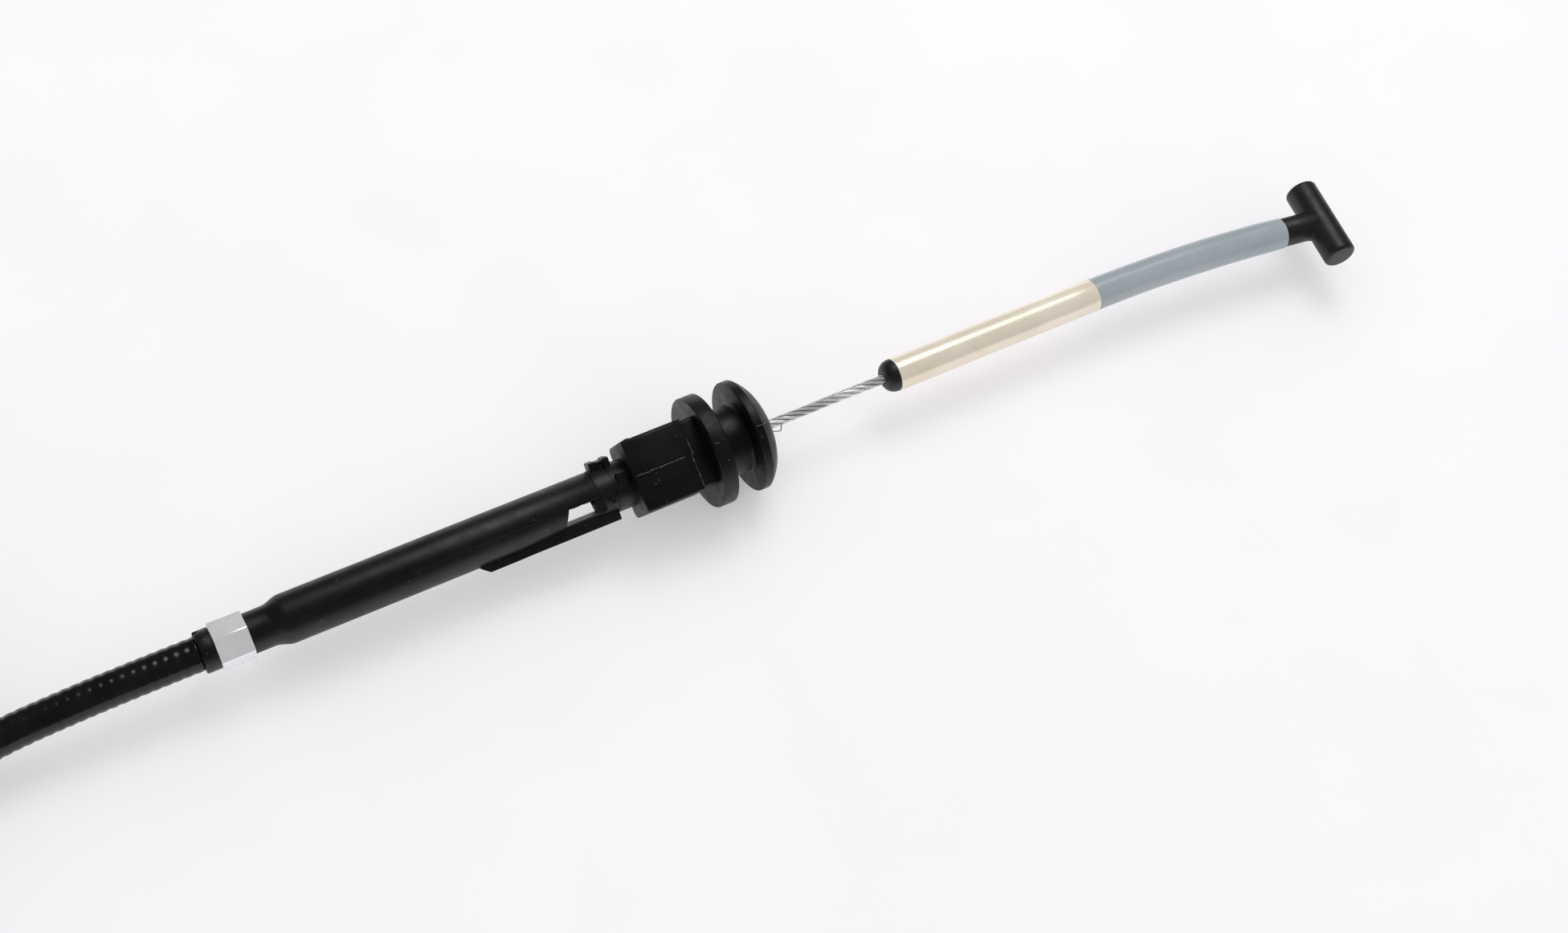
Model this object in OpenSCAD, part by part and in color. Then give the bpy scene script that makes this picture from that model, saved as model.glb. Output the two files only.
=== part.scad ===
// Pull control cable: a jacketed conduit with its moving core rope. One end has a snap-in
// bulkhead grommet, a guide tube and a T-ended pull rod. The other end has a threaded adjuster.
// Units are millimetres. +X runs along the pull rod towards the T, +Z is up, and the origin is
// the centre of the grommet's panel groove.

/* [Grommet] */
// Diameter of both flanges
flange_d = 28.6; // [26:0.1:30]
// Diameter of the hub at the bottom of the panel groove
hub_d = 17.5; // [16:0.5:19]
// Width of the panel groove
groove_w = 7.3; // [6:0.1:9]
// Thickness of the rear flange
rear_flange_t = 4.2; // [3:0.1:4.5]
// Thickness of the front flange at its rim
front_rim_t = 2.35; // [2:0.05:3]
// How far the front flange's dome stands past its rim
dome_rise = 4.45; // [3.5:0.05:5]
// Width of the block
block_w = 18.4; // [17:0.1:19.2]
// Length of the block
block_l = 15.6; // [12:0.1:16]
// Turn of the grommet's block about the cable axis
block_roll = 25; // [0:1:90]
// Turn of the guide tube's window and rail about the cable axis
housing_roll = 37; // [0:1:90]

/* [Guide tube] */
// Outside diameter of the guide tube
guide_d = 12; // [11.6:0.1:12.4]
// Bore that the pull rod slides in
guide_bore_d = 9.2; // [9.1:0.1:9.4]
// Outside diameter of the neck that the ring is crimped on
neck_d = 9.8; // [9.6:0.1:10]
// Length of the latch window
window_l = 10.8; // [8:0.2:12]
// How far the rail stands below the tube
rail_proud = 1.65; // [1:0.05:2]

/* [Crimp ring] */
// Across the corners of the hexagonal ring
ring_d = 12.3; // [12:0.1:13]
// Length of the ring
ring_l = 8; // [6:0.5:9]

/* [Pull rod] */
// Diameter of the core rope
rope_d = 2.5; // [2:0.1:2.6]
// Travel of the pull rod
travel = 60; // [40:1:62]
// Outside diameter of the metal sleeve
sleeve_d = 8.7; // [8.2:0.1:8.7]
// Length of the metal sleeve
sleeve_l = 61.2; // [55:0.1:64]
// Outside diameter of the plastic sleeve
plastic_sleeve_d = 8.6; // [8:0.1:8.6]
// Length of the plastic sleeve
plastic_sleeve_l = 60.2; // [50:0.1:62]
// Set of the plastic sleeve, which is bent by this angle over its length
sleeve_bend = 7.5; // [4:0.5:10]
// Gap from the grommet's groove centre to the metal sleeve
sleeve_start = 48.6; // [46:0.1:54]

/* [T end] */
// Diameter of the T bar
t_bar_d = 8.8; // [8:0.1:9]
// Length of the T bar
t_bar_l = 24; // [20:0.1:28]
// Diameter of the T's stem
t_stem_d = 7.8; // [7:0.1:8]
// Distance from the plastic sleeve to the T bar's axis
t_stem_l = 12.5; // [10:0.1:15]

/* [Conduit] */
// Outside diameter of the jacketed conduit
conduit_d = 8.4; // [8.4:0.1:8.4]
// Radius of the stored coil at the middle of a turn
coil_r = 43; // [42:1:48]
// Height from one layer of the coil to the next
coil_level = 8.8; // [8.6:0.1:9.2]

/* [Adjuster] */
// Outside diameter of the adjuster's thread
thread_d = 8; // [8:0.1:8]
// Length of the adjuster's threaded stretch
thread_l = 73; // [70:1:76]
// Across the flats of the lock nuts
nut_af = 13; // [12:0.1:13]
// Thickness of a lock nut
nut_t = 5; // [4:0.1:6]
// Diameter of the end nipple
nipple_d = 7.6; // [6:0.1:7.6]
// Length of the end nipple
nipple_l = 10; // [8:0.5:12]

/* [Hidden] */
$fn = 64;

floor_z = -flange_d / 2;
bore_r = guide_bore_d / 2;
guide_r = guide_d / 2;
neck_r = neck_d / 2;
rope_r = rope_d / 2;
conduit_r = conduit_d / 2;
edge = 0.4;

// Stations along the cable axis
groove_half = groove_w / 2;
rear_flange_x = -groove_half - rear_flange_t;
block_front_x = -11.8;
block_rear_x = block_front_x - block_l;
front_rim_x = groove_half + front_rim_t;
mouth_x = front_rim_x + dome_rise;
latch_front_x = 3;
latch_end_x = -36;
guide_front_x = -34.3;
window_front_x = -35.2;
window_rear_x = window_front_x - window_l;
rail_rear_x = -68.3;
rail_front_x = -32.4;
bore_end_x = -113;
swell_front_x = -114.2;
swell_rear_x = -117.4;
seat_rear_x = -117.2;
ring_front_x = -123.1;
ring_rear_x = ring_front_x - ring_l;
collar_x = ring_rear_x - 3.5;

// Latch sleeve
latch_r = 6.1;
latch_collar_r = 6.1;
latch_collar_front_x = -32.1;
window_drop = 3.8;

// Conduit layers
armour_r = 3;
liner_r = 2.1;
liner_bore_r = 1.6;

// Pull rod
rope_tail_x = -52;
sleeve_end = sleeve_start + sleeve_l;
bend_r = plastic_sleeve_l / (sleeve_bend * PI / 180);
sleeve_bore_r = 3.5;
plastic_bore_r = 2.6;
t_core_r = 1.9;
t_core_bar_r = 2.2;
t_plug_l = 8;
insert_r = 2.4;
insert_bore_r = 1.5;
t_core_short = 5.4;
t_hub_l = 8;
t_hub_proud = 0.2;

// Coil: its base layer rests on the ties, and each layer climbs within one short ramp
tie_t = 0.8;
tie_w = 6;
tie_gap = 0.15;
tie_angles = [60, 150, 240];
base_z = floor_z + tie_t + conduit_r;
coil_x = -240;
coil_y = -9;
coil_turns = 2;
ramp_angle = 70;
ramp_end = 35;

// Route of the conduit where it isn't coiled, from the collar to the coil and from the coil to
// the far ferrule
lead_route = [
    [-134.6, 0, 0], [-150, 0, 0], [-165, 0, -0.5], [-180, -0.2, -1.7],
    [-195, -1.6, -4], [-210, -4.8, -6.7], [-225, -8, -8.7], [-240, -9, -9.3]
];
tail_route = [
    [-255, -9, 7.7], [-270, -9, 5.7], [-285, -9, 2.5], [-300, -9, -1.2],
    [-315, -9, -4.3], [-330, -9, -6.1], [-340, -9, -6.4]
];

// Far fitting
far_y = coil_y;
far_z = -6.4;
ferrule_r = 5.4;
ferrule_x = -338;
ferrule_l = 17;
jacket_in = 12;
thread_r = thread_d / 2;
thread_x = ferrule_x - ferrule_l;
thread_end_x = thread_x - thread_l;
spigot_r = 2.6;
spigot_l = 8;
nut_gap = 0.4;
washer_t = 1;
washer_r = 7.4;
inner_nut_x = thread_x - 22;
inner_washer_x = inner_nut_x - nut_t - nut_gap;
outer_washer_x = inner_washer_x - washer_t - nut_gap;
outer_nut_x = outer_washer_x - washer_t - nut_gap;
cap_l = 12;
cap_r = 3.7;
relief_x = inner_nut_x - 14.4;
relief_w = 0.8;
relief_depth = 0.35;
nipple_gap = 0.6;
nipple_x = thread_end_x - cap_l - nipple_gap;
far_rope_x = -362;

// Solids of revolution about the cable axis, from [radius, x] points
module lathe(points) {
    rotate([0, 90, 0]) rotate_extrude() polygon(points);
}

module bar(x0, x1, r) {
    translate([x0, 0, 0]) rotate([0, 90, 0]) cylinder(h = x1 - x0, r = r);
}

module pipe(x0, x1, r_out, r_in) {
    lathe([[r_in, x0], [r_out, x0], [r_out, x1], [r_in, x1]]);
}

// A pipe whose two outer edges are broken by a small chamfer
module soft_pipe(x0, x1, r_out, r_in, c) {
    lathe([[r_in, x0], [r_out - c, x0], [r_out, x0 + c],
           [r_out, x1 - c], [r_out - c, x1], [r_in, x1]]);
}

// A flat outline in (y, z), extruded from x0 to x1
module slab(x0, x1) {
    translate([x0, 0, 0]) rotate([90, 0, 90]) linear_extrude(x1 - x0) children();
}

// A round bar or pipe along the plastic sleeve's bend, between two distances from its start
module bent(s0, s1, r_out, r_in) {
    turn = sleeve_bend / plastic_sleeve_l;
    translate([sleeve_end, -bend_r, 0]) rotate([0, 0, 90 - turn * s1])
        rotate_extrude(angle = turn * (s1 - s0)) translate([bend_r, 0]) difference() {
            circle(r_out);
            if (r_in > 0) circle(r_in);
        }
}

// The frame at the end of the plastic sleeve, with +X along the T's stem
module at_tip() {
    translate([sleeve_end + bend_r * sin(sleeve_bend), -bend_r * (1 - cos(sleeve_bend)), 0])
        rotate([0, 0, -sleeve_bend]) children();
}

module in_housing() {
    rotate([housing_roll, 0, 0]) children();
}

module at_far() {
    translate([0, far_y, far_z]) children();
}

// Points on an arc about (cx, cy)
function arc(cx, cy, r, a0, a1, n) =
    [for (i = [0:n]) let (a = a0 + (a1 - a0) * i / n) [cx + r * cos(a), cy + r * sin(a)]];

// Rectangle with softened corners on the near side of the cable axis, and a round back
module block_outline(w) {
    near_r = 1;
    far_r = 1.6;
    far = 3.6;
    back_r = 7;
    h = w / 2;
    translate([-h, -far + far_r]) square([w, h + far - far_r - near_r]);
    translate([-h + near_r, 0]) square([w - 2 * near_r, h]);
    translate([-h + far_r, -far]) square([w - 2 * far_r, h]);
    circle(back_r);
    for (s = [-1, 1]) {
        translate([s * (h - near_r), h - near_r]) circle(near_r);
        translate([s * (h - far_r), -far + far_r]) circle(far_r);
    }
}

// Side outline of the rail in (x, y): chamfered at the rear, rising to the window at the front
module rail_outline() {
    low = -guide_r - rail_proud;
    high = -window_drop - 0.6;
    rise_x = window_rear_x - 1;
    polygon(concat(
        [[rail_rear_x, -guide_r + 0.6], [rail_rear_x, -guide_r],
         [rail_rear_x + 1.9, low], [rail_front_x, low], [rail_front_x, high]],
        [for (i = [0:6]) let (t = i / 6)
            [rise_x - 12 * t, high + (-guide_r + 0.6 - high) * (1 - pow(1 - t, 2))]]
    ));
}

module guide_tube() {
    rail_w = 8.6;
    slant = 1.5;
    far_extra_l = 2;
    far_extra_low = 0.8;
    far_high = 2.2;
    collar_r = neck_r + 0.15;
    color([0.05, 0.055, 0.055]) in_housing() difference() {
        union() {
            lathe([[rope_r + 1, collar_x], [collar_r - 0.3, collar_x], [collar_r, collar_x + 0.3],
                   [collar_r, ring_rear_x], [neck_r, ring_rear_x], [neck_r, swell_rear_x],
                   [guide_r - 0.5, swell_front_x - 0.8], [guide_r, swell_front_x],
                   [guide_r, guide_front_x], [rope_r + 1, guide_front_x]]);
            translate([0, 0, -rail_w / 2]) linear_extrude(rail_w) rail_outline();
        }
        bar(collar_x - 1, seat_rear_x, conduit_r);
        bar(seat_rear_x - 1, bore_end_x + 1, armour_r);
        bar(bore_end_x, guide_front_x + 1, bore_r);
        linear_extrude(guide_r + 2) polygon([
            [window_rear_x, -window_drop], [window_front_x, -window_drop],
            [window_front_x, 0], [window_rear_x + slant, 0]
        ]);
        translate([window_rear_x - far_extra_l, -window_drop - far_extra_low, -guide_r - 2])
            cube([window_l + far_extra_l, window_drop + far_extra_low + far_high, guide_r + 2]);
        pipe(latch_end_x, guide_front_x, latch_collar_r, guide_r);
        bar(guide_front_x, rail_front_x + 1, latch_collar_r);
        translate([collar_x - 1, neck_r - 0.6, -1.2]) cube([2.2, 2, 2.4]);
    }
}

module latch_sleeve() {
    hook_l = 5.6;
    hook_x = -35.3;
    hook_h = 2.3;
    tongue_l = 3;
    color([0.07, 0.075, 0.075]) in_housing() difference() {
        union() {
            lathe([[bore_r, guide_front_x], [guide_r, guide_front_x], [guide_r, latch_end_x],
                   [latch_collar_r, latch_end_x], [latch_collar_r, latch_collar_front_x],
                   [latch_r, latch_collar_front_x], [latch_r, latch_front_x],
                   [bore_r, latch_front_x]]);
            translate([hook_x, guide_r - 0.4, -1.9]) cube([hook_l, hook_h, 3.8]);
            translate([latch_end_x - tongue_l, -window_drop + 0.4, bore_r])
                cube([tongue_l + 1.4, window_drop - 0.7, guide_r - bore_r]);
        }
        bar(latch_end_x - 0.1, guide_front_x, guide_r);
        translate([hook_x + 1.7, guide_r + 0.3, -3]) cube([1.7, 0.7, 6]);
        bar(latch_end_x - 5, latch_end_x, bore_r + 0.05);
    }
}

module bulkhead_grommet() {
    r = flange_d / 2;
    hub = hub_d / 2;
    fillet = 1;
    round = 0.7;
    color([0.045, 0.05, 0.05]) rotate([block_roll, 0, 0]) difference() {
        union() {
            lathe(concat(
                [[latch_r, rear_flange_x], [r - round, rear_flange_x]],
                arc(r - round, rear_flange_x + round, round, -90, 0, 3),
                arc(r - round, -groove_half - round, round, 0, 90, 3),
                arc(hub + fillet, -groove_half + fillet, fillet, 270, 180, 3),
                arc(hub + fillet, groove_half - fillet, fillet, 180, 90, 3),
                arc(r - round, groove_half + round, round, -90, 0, 3),
                arc(r - round, front_rim_x - round, round, 0, 70, 3),
                [[r - 1.9, front_rim_x + 0.43 * dome_rise],
                 [r - 3.4, front_rim_x + 0.65 * dome_rise],
                 [r - 5.4, front_rim_x + 0.83 * dome_rise], [r - 7.5, mouth_x], [latch_r, mouth_x]]
            ));
            slab(block_rear_x, block_front_x) block_outline(block_w);
            slab(block_front_x - 0.5, rear_flange_x + 0.5) block_outline(block_w - 1);
            translate([rear_flange_x, 0, 0])
                rotate([0, 90, 0]) cylinder(h = rear_flange_t, r = hub);
        }
        bar(block_rear_x - 1, mouth_x + 1, latch_r);
    }
}

module mouth_bush() {
    color([0.75, 0.75, 0.72]) pipe(latch_front_x, mouth_x - 1.6, latch_r, bore_r);
}

module wiper_seal() {
    color([0.08, 0.08, 0.08])
        lathe([[bore_r, mouth_x - 0.3], [bore_r + 0.9, mouth_x - 1.2], [bore_r + 0.9, mouth_x - 1.6],
               [latch_r, mouth_x - 1.6], [latch_r, mouth_x], [bore_r, mouth_x]]);
}

module inner_seat() {
    color([0.8, 0.8, 0.76])
        lathe([[liner_bore_r, seat_rear_x], [armour_r, seat_rear_x], [armour_r, bore_end_x],
               [bore_r, bore_end_x], [bore_r, bore_end_x + 1.5], [liner_bore_r, bore_end_x + 1.5]]);
}

module crimp_ring() {
    corner_roll = 12;
    color([0.85, 0.86, 0.87]) difference() {
        intersection() {
            translate([ring_rear_x, 0, 0]) rotate([corner_roll, 0, 0]) rotate([0, 90, 0])
                cylinder(h = ring_l, r = ring_d / 2, $fn = 6);
            soft_pipe(ring_rear_x, ring_front_x, ring_d / 2 - 0.1, 1, edge);
        }
        bar(ring_rear_x - 1, ring_front_x + 1, neck_r);
    }
}

module jacket_end() {
    color([0.04, 0.04, 0.045]) pipe(collar_x, seat_rear_x, conduit_r, armour_r);
}

module armour_end() {
    color([0.6, 0.61, 0.63]) pipe(collar_x, seat_rear_x, armour_r, liner_r);
}

module liner_end() {
    color([0.92, 0.92, 0.9]) pipe(collar_x, seat_rear_x, liner_r, liner_bore_r);
}

// Stretch of the core that runs into the conduit: it takes up the pull rod's travel
module guide_rope() {
    color([0.7, 0.71, 0.72]) bar(collar_x, rope_tail_x, rope_r);
}

module core_rope() {
    color([0.72, 0.73, 0.74]) bar(rope_tail_x, sleeve_end, rope_r);
}

module nose_plug() {
    tip = 3.3;
    r = sleeve_d / 2 - 0.1;
    shank_l = 6;
    color([0.05, 0.05, 0.05])
        lathe(concat(
            [[rope_r, sleeve_start - tip]],
            [for (i = [0:7]) let (a = 90 * i / 7)
                [rope_r + 0.5 + (r - rope_r - 0.5) * sin(a), sleeve_start - tip * cos(a)]],
            [[sleeve_bore_r, sleeve_start], [sleeve_bore_r, sleeve_start + shank_l],
             [rope_r, sleeve_start + shank_l]]
        ));
}

module swage_stop() {
    stop_l = 10;
    start = sleeve_start + 6.5;
    color([0.8, 0.65, 0.3]) soft_pipe(start, start + stop_l, sleeve_bore_r - 0.1, rope_r, edge);
}

module metal_sleeve() {
    color([0.86, 0.82, 0.72])
        soft_pipe(sleeve_start, sleeve_end, sleeve_d / 2, sleeve_bore_r, 0.25);
}

module coupling_bush() {
    start = sleeve_end - 11;
    end = sleeve_end + 10;
    color([0.3, 0.3, 0.3])
        lathe([[rope_r, start], [sleeve_bore_r, start], [sleeve_bore_r, sleeve_end],
               [insert_r, sleeve_end], [insert_r, end], [insert_bore_r, end],
               [insert_bore_r, sleeve_end], [rope_r, sleeve_end]]);
}

module plastic_sleeve() {
    color([0.6, 0.67, 0.72]) bent(0, plastic_sleeve_l, plastic_sleeve_d / 2, plastic_bore_r);
}

// The end of the core rope, bent with the plastic sleeve around it
module tip_rope() {
    color([0.72, 0.73, 0.74]) bent(0, plastic_sleeve_l, rope_r, 0);
}

// The T bar's round body about its own axis, from [radius, height] points
module on_t_axis(points) {
    at_tip() translate([t_stem_l, 0, 0]) rotate([-90, 0, 0]) rotate_extrude() polygon(points);
}

module t_core_bar() {
    h = (t_bar_l - t_core_short) / 2;
    on_t_axis([[0, -h], [t_core_bar_r, -h], [t_core_bar_r, h], [0, h]]);
}

module t_core() {
    color([0.7, 0.7, 0.72]) {
        at_tip() bar(0, t_stem_l, t_core_r);
        t_core_bar();
    }
}

module t_end() {
    half = t_bar_l / 2;
    hub = t_hub_l / 2;
    r = t_bar_d / 2;
    round = 0.9;
    color([0.06, 0.065, 0.07]) difference() {
        union() {
            at_tip() bar(-t_plug_l, 0, insert_r);
            at_tip() bar(0, t_stem_l, t_stem_d / 2);
            on_t_axis(concat(
                [[0, -half]],
                arc(r - round, -half + round, round, -90, 0, 3),
                [[r, -hub], [r + t_hub_proud, -hub], [r + t_hub_proud, hub], [r, hub]],
                arc(r - round, half - round, round, 0, 90, 3),
                [[0, half]]
            ));
        }
        at_tip() bar(-t_plug_l - 1, 0, insert_bore_r);
        at_tip() bar(0, t_stem_l, t_core_r);
        t_core_bar();
    }
}

// Smooth step from 0 to 1, flat at both ends
function ease(t) = let (c = max(0, min(1, t))) c * c * (3 - 2 * c);

// How far the coil has climbed towards layer n after turning by angle a
function climb(a, n) = ease((a - 360 * n + ramp_end + ramp_angle) / ramp_angle);

// Centre of the conduit after turning by angle a round the coil
function coil_point(a) = [
    coil_x + coil_r * cos(-90 - a),
    coil_y + coil_r + coil_r * sin(-90 - a),
    base_z + coil_level * (climb(a, 1) + climb(a, 2))
];

function unit(v) = v / norm(v);

// Direction of a route at point i
function heading(route, i) =
    unit(route[min(i + 1, len(route) - 1)] - route[max(i - 1, 0)]);

// Tube swept along a route, as one closed mesh
module cord_tube(route, r, sides) {
    rings = len(route);
    points = [
        for (i = [0:rings - 1])
            let (t = heading(route, i), side = unit(cross(t, [0, 0, 1])), up = cross(side, t))
                for (k = [0:sides - 1])
                    let (a = 360 * k / sides) route[i] + r * (cos(a) * side + sin(a) * up)
    ];
    walls = [
        for (i = [0:rings - 2], k = [0:sides - 1])
            let (a = i * sides + k, b = i * sides + (k + 1) % sides)
                for (f = [[a, b + sides, b], [a, a + sides, b + sides]]) f
    ];
    caps = concat(
        [for (k = [1:sides - 2]) [0, k, k + 1]],
        [for (k = [1:sides - 2]) let (e = (rings - 1) * sides) [e, e + k + 1, e + k]]
    );
    polyhedron(points = points, faces = concat(walls, caps));
}

module conduit_lead() {
    color([0.04, 0.045, 0.05]) cord_tube(lead_route, conduit_r, 12);
}

module conduit_coil() {
    color([0.04, 0.045, 0.05]) translate([coil_x, coil_y + coil_r, 0])
        rotate_extrude() translate([coil_r - conduit_r, base_z - conduit_r])
            square([conduit_d, coil_level + conduit_d]);
}

module conduit_tail() {
    start = 360 * coil_turns - ramp_end - ramp_angle;
    step = (ramp_end + ramp_angle) / 6;
    top = [for (i = [0:6]) coil_point(start + i * step)];
    color([0.04, 0.045, 0.05]) cord_tube(concat(top, tail_route), conduit_r, 12);
}

// One strap loop round both layers of the coil
module tie_loop() {
    w = conduit_d + 2 * tie_gap;
    h = coil_level + conduit_d + tie_gap;
    translate([coil_r, tie_w / 2, base_z - conduit_r]) rotate([90, 0, 0])
        linear_extrude(tie_w) difference() {
            translate([-w / 2 - tie_t, -tie_t]) square([w + 2 * tie_t, h + 2 * tie_t]);
            translate([-w / 2, 0]) square([w, h]);
        }
}

module coil_ties() {
    color([0.1, 0.1, 0.1]) translate([coil_x, coil_y + coil_r, 0])
        for (a = tie_angles) rotate([0, 0, -90 - a]) tie_loop();
}

module far_ferrule() {
    color([0.75, 0.76, 0.78]) at_far() difference() {
        soft_pipe(thread_x, ferrule_x, ferrule_r, liner_bore_r, edge);
        bar(ferrule_x - jacket_in, ferrule_x + 1, conduit_r);
    }
}

module far_jacket_end() {
    color([0.04, 0.04, 0.045]) at_far()
        pipe(ferrule_x - jacket_in, ferrule_x - 2, conduit_r, liner_bore_r);
}

module adjuster_tube() {
    color([0.78, 0.76, 0.66]) at_far()
        lathe([[liner_bore_r, thread_x], [thread_r, thread_x], [thread_r, relief_x],
               [thread_r - relief_depth, relief_x], [thread_r - relief_depth, relief_x - relief_w],
               [thread_r, relief_x - relief_w], [thread_r, thread_end_x + edge],
               [thread_r - edge, thread_end_x], [spigot_r, thread_end_x],
               [spigot_r, thread_end_x - spigot_l], [liner_bore_r, thread_end_x - spigot_l]]);
}

module lock_nut(x) {
    corner_r = nut_af / 2 / cos(30);
    at_far() difference() {
        intersection() {
            translate([x - nut_t, 0, 0]) rotate([0, 90, 0])
                cylinder(h = nut_t, r = corner_r, $fn = 6);
            soft_pipe(x - nut_t, x, corner_r, 1, 0.6);
        }
        bar(x - nut_t - 1, x + 1, thread_r + 0.06);
    }
}

module inner_lock_nut() {
    color([0.78, 0.76, 0.66]) lock_nut(inner_nut_x);
}

module outer_lock_nut() {
    color([0.78, 0.76, 0.66]) lock_nut(outer_nut_x);
}

module lock_washers() {
    color([0.7, 0.7, 0.72]) at_far()
        for (x = [inner_washer_x, outer_washer_x])
            pipe(x - washer_t, x, washer_r, thread_r);
}

module dust_cap() {
    end = thread_end_x - cap_l;
    color([0.05, 0.05, 0.05]) at_far() difference() {
        lathe([[liner_bore_r, end], [2.6, end], [3, end + 0.4], [cap_r, end + 6],
               [cap_r, thread_end_x], [liner_bore_r, thread_end_x]]);
        bar(thread_end_x - spigot_l, thread_end_x + 1, spigot_r);
    }
}

module far_rope() {
    color([0.72, 0.73, 0.74]) at_far() bar(nipple_x - nipple_l + 2, far_rope_x, rope_r);
}

module end_nipple() {
    color([0.72, 0.72, 0.74]) at_far() difference() {
        soft_pipe(nipple_x - nipple_l, nipple_x, nipple_d / 2, rope_r, edge);
        bar(nipple_x - nipple_l - 1, nipple_x - nipple_l + 2, rope_r + 0.8);
    }
}

guide_tube();
latch_sleeve();
bulkhead_grommet();
mouth_bush();
wiper_seal();
inner_seat();
crimp_ring();
jacket_end();
armour_end();
liner_end();
guide_rope();
core_rope();
nose_plug();
swage_stop();
metal_sleeve();
coupling_bush();
plastic_sleeve();
tip_rope();
t_core();
t_end();
conduit_lead();
conduit_coil();
conduit_tail();
coil_ties();
far_ferrule();
far_jacket_end();
adjuster_tube();
inner_lock_nut();
outer_lock_nut();
lock_washers();
dust_cap();
far_rope();
end_nipple();
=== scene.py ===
import math

import bmesh
import bpy
from mathutils import Matrix, Vector


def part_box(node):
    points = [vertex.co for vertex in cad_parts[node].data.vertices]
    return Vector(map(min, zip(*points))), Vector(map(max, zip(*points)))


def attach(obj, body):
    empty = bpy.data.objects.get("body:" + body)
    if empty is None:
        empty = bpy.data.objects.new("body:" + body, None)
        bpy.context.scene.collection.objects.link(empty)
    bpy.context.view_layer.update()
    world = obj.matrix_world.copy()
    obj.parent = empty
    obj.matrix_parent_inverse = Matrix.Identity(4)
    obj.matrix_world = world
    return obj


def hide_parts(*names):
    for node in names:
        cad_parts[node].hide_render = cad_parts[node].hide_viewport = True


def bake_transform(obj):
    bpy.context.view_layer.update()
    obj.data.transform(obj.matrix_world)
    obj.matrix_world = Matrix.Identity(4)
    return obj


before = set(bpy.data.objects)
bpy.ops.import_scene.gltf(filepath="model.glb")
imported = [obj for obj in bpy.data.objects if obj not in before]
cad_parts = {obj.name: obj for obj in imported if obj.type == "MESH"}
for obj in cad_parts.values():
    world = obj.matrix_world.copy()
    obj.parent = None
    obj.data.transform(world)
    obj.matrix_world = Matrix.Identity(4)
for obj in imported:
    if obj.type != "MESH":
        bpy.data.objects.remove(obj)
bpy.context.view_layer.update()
MM = 0.001

# ---------------------------------------------------------------- camera
# The way from the cable to the camera, the point it looks near, and how far it stands from that
# point. The drop slides the view down the picture, and the roll turns the cable across it.
VIEW_FROM = Vector((-0.33, -0.414, 0.848)).normalized()
VIEW_POINT = Vector((0.0118, 0, 0))
VIEW_DISTANCE = 0.52
VIEW_DROP = 0.011
VIEW_ROLL = math.radians(22.3)
SENSOR_WIDTH = 36
FOCAL_LENGTH = 47.95
NEAR_CLIP = 0.01


def make_camera():
    down = Vector((0, -VIEW_FROM.z, VIEW_FROM.y)).normalized()
    right = down.cross(-VIEW_FROM).normalized()
    cos, sin = math.cos(VIEW_ROLL), math.sin(VIEW_ROLL)
    photo_right = cos * right + sin * down
    photo_up = sin * right - cos * down
    data = bpy.data.cameras.new("camera")
    data.lens = FOCAL_LENGTH
    data.sensor_width = SENSOR_WIDTH
    data.clip_start = NEAR_CLIP
    camera = bpy.data.objects.new("camera", data)
    bpy.context.scene.collection.objects.link(camera)
    stand = VIEW_POINT + VIEW_DISTANCE * VIEW_FROM + VIEW_DROP * down
    turn = Matrix((photo_right, photo_up, VIEW_FROM)).transposed().to_4x4()
    camera.matrix_world = Matrix.Translation(stand) @ turn
    bpy.context.scene.camera = camera


make_camera()


# ---------------------------------------------------------------- the conduit's route, in metres
# The same points as the CAD part's lead_route and tail_route, with the coil worked out between them
LEAD_ROUTE = [
    (-0.1346, 0, 0), (-0.150, 0, 0), (-0.165, 0, -0.0005), (-0.180, -0.0002, -0.0017),
    (-0.195, -0.0016, -0.004), (-0.210, -0.0048, -0.0067), (-0.225, -0.008, -0.0087),
    (-0.240, -0.009, -0.0093),
]
TAIL_ROUTE = [
    (-0.255, -0.009, 0.0077), (-0.270, -0.009, 0.0057), (-0.285, -0.009, 0.0025),
    (-0.300, -0.009, -0.0012), (-0.315, -0.009, -0.0043), (-0.330, -0.009, -0.0061),
    (-0.340, -0.009, -0.0064),
]
CONDUIT_D = 0.0084
COIL_X = -0.240
COIL_Y = -0.009
COIL_R = 0.043
COIL_START = -90
COIL_BASE_Z = -0.0093
COIL_LEVEL = 0.0088
COIL_TURNS = 2
# Each turn climbs to the next level over this many degrees, starting before its full turn is made
RAMP_ANGLE = 70
RAMP_BEFORE = 35
COIL_STEPS_PER_TURN = 24


def ease(t):
    """From 0 to 1 with a gentle start and end."""
    t = max(0.0, min(1.0, t))
    return t * t * (3 - 2 * t)


def coil_point(angle):
    turn = math.radians(COIL_START - angle)
    climb = sum(ease((angle - 360 * n + RAMP_BEFORE + RAMP_ANGLE) / RAMP_ANGLE)
                for n in range(1, COIL_TURNS + 1))
    return (COIL_X + COIL_R * math.cos(turn), COIL_Y + COIL_R + COIL_R * math.sin(turn),
            COIL_BASE_Z + COIL_LEVEL * climb)


def conduit_route():
    steps = COIL_TURNS * COIL_STEPS_PER_TURN
    coil = [coil_point(360 * COIL_TURNS * i / steps) for i in range(1, steps + 1)]
    return [Vector(p) for p in LEAD_ROUTE + coil + TAIL_ROUTE]


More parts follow.
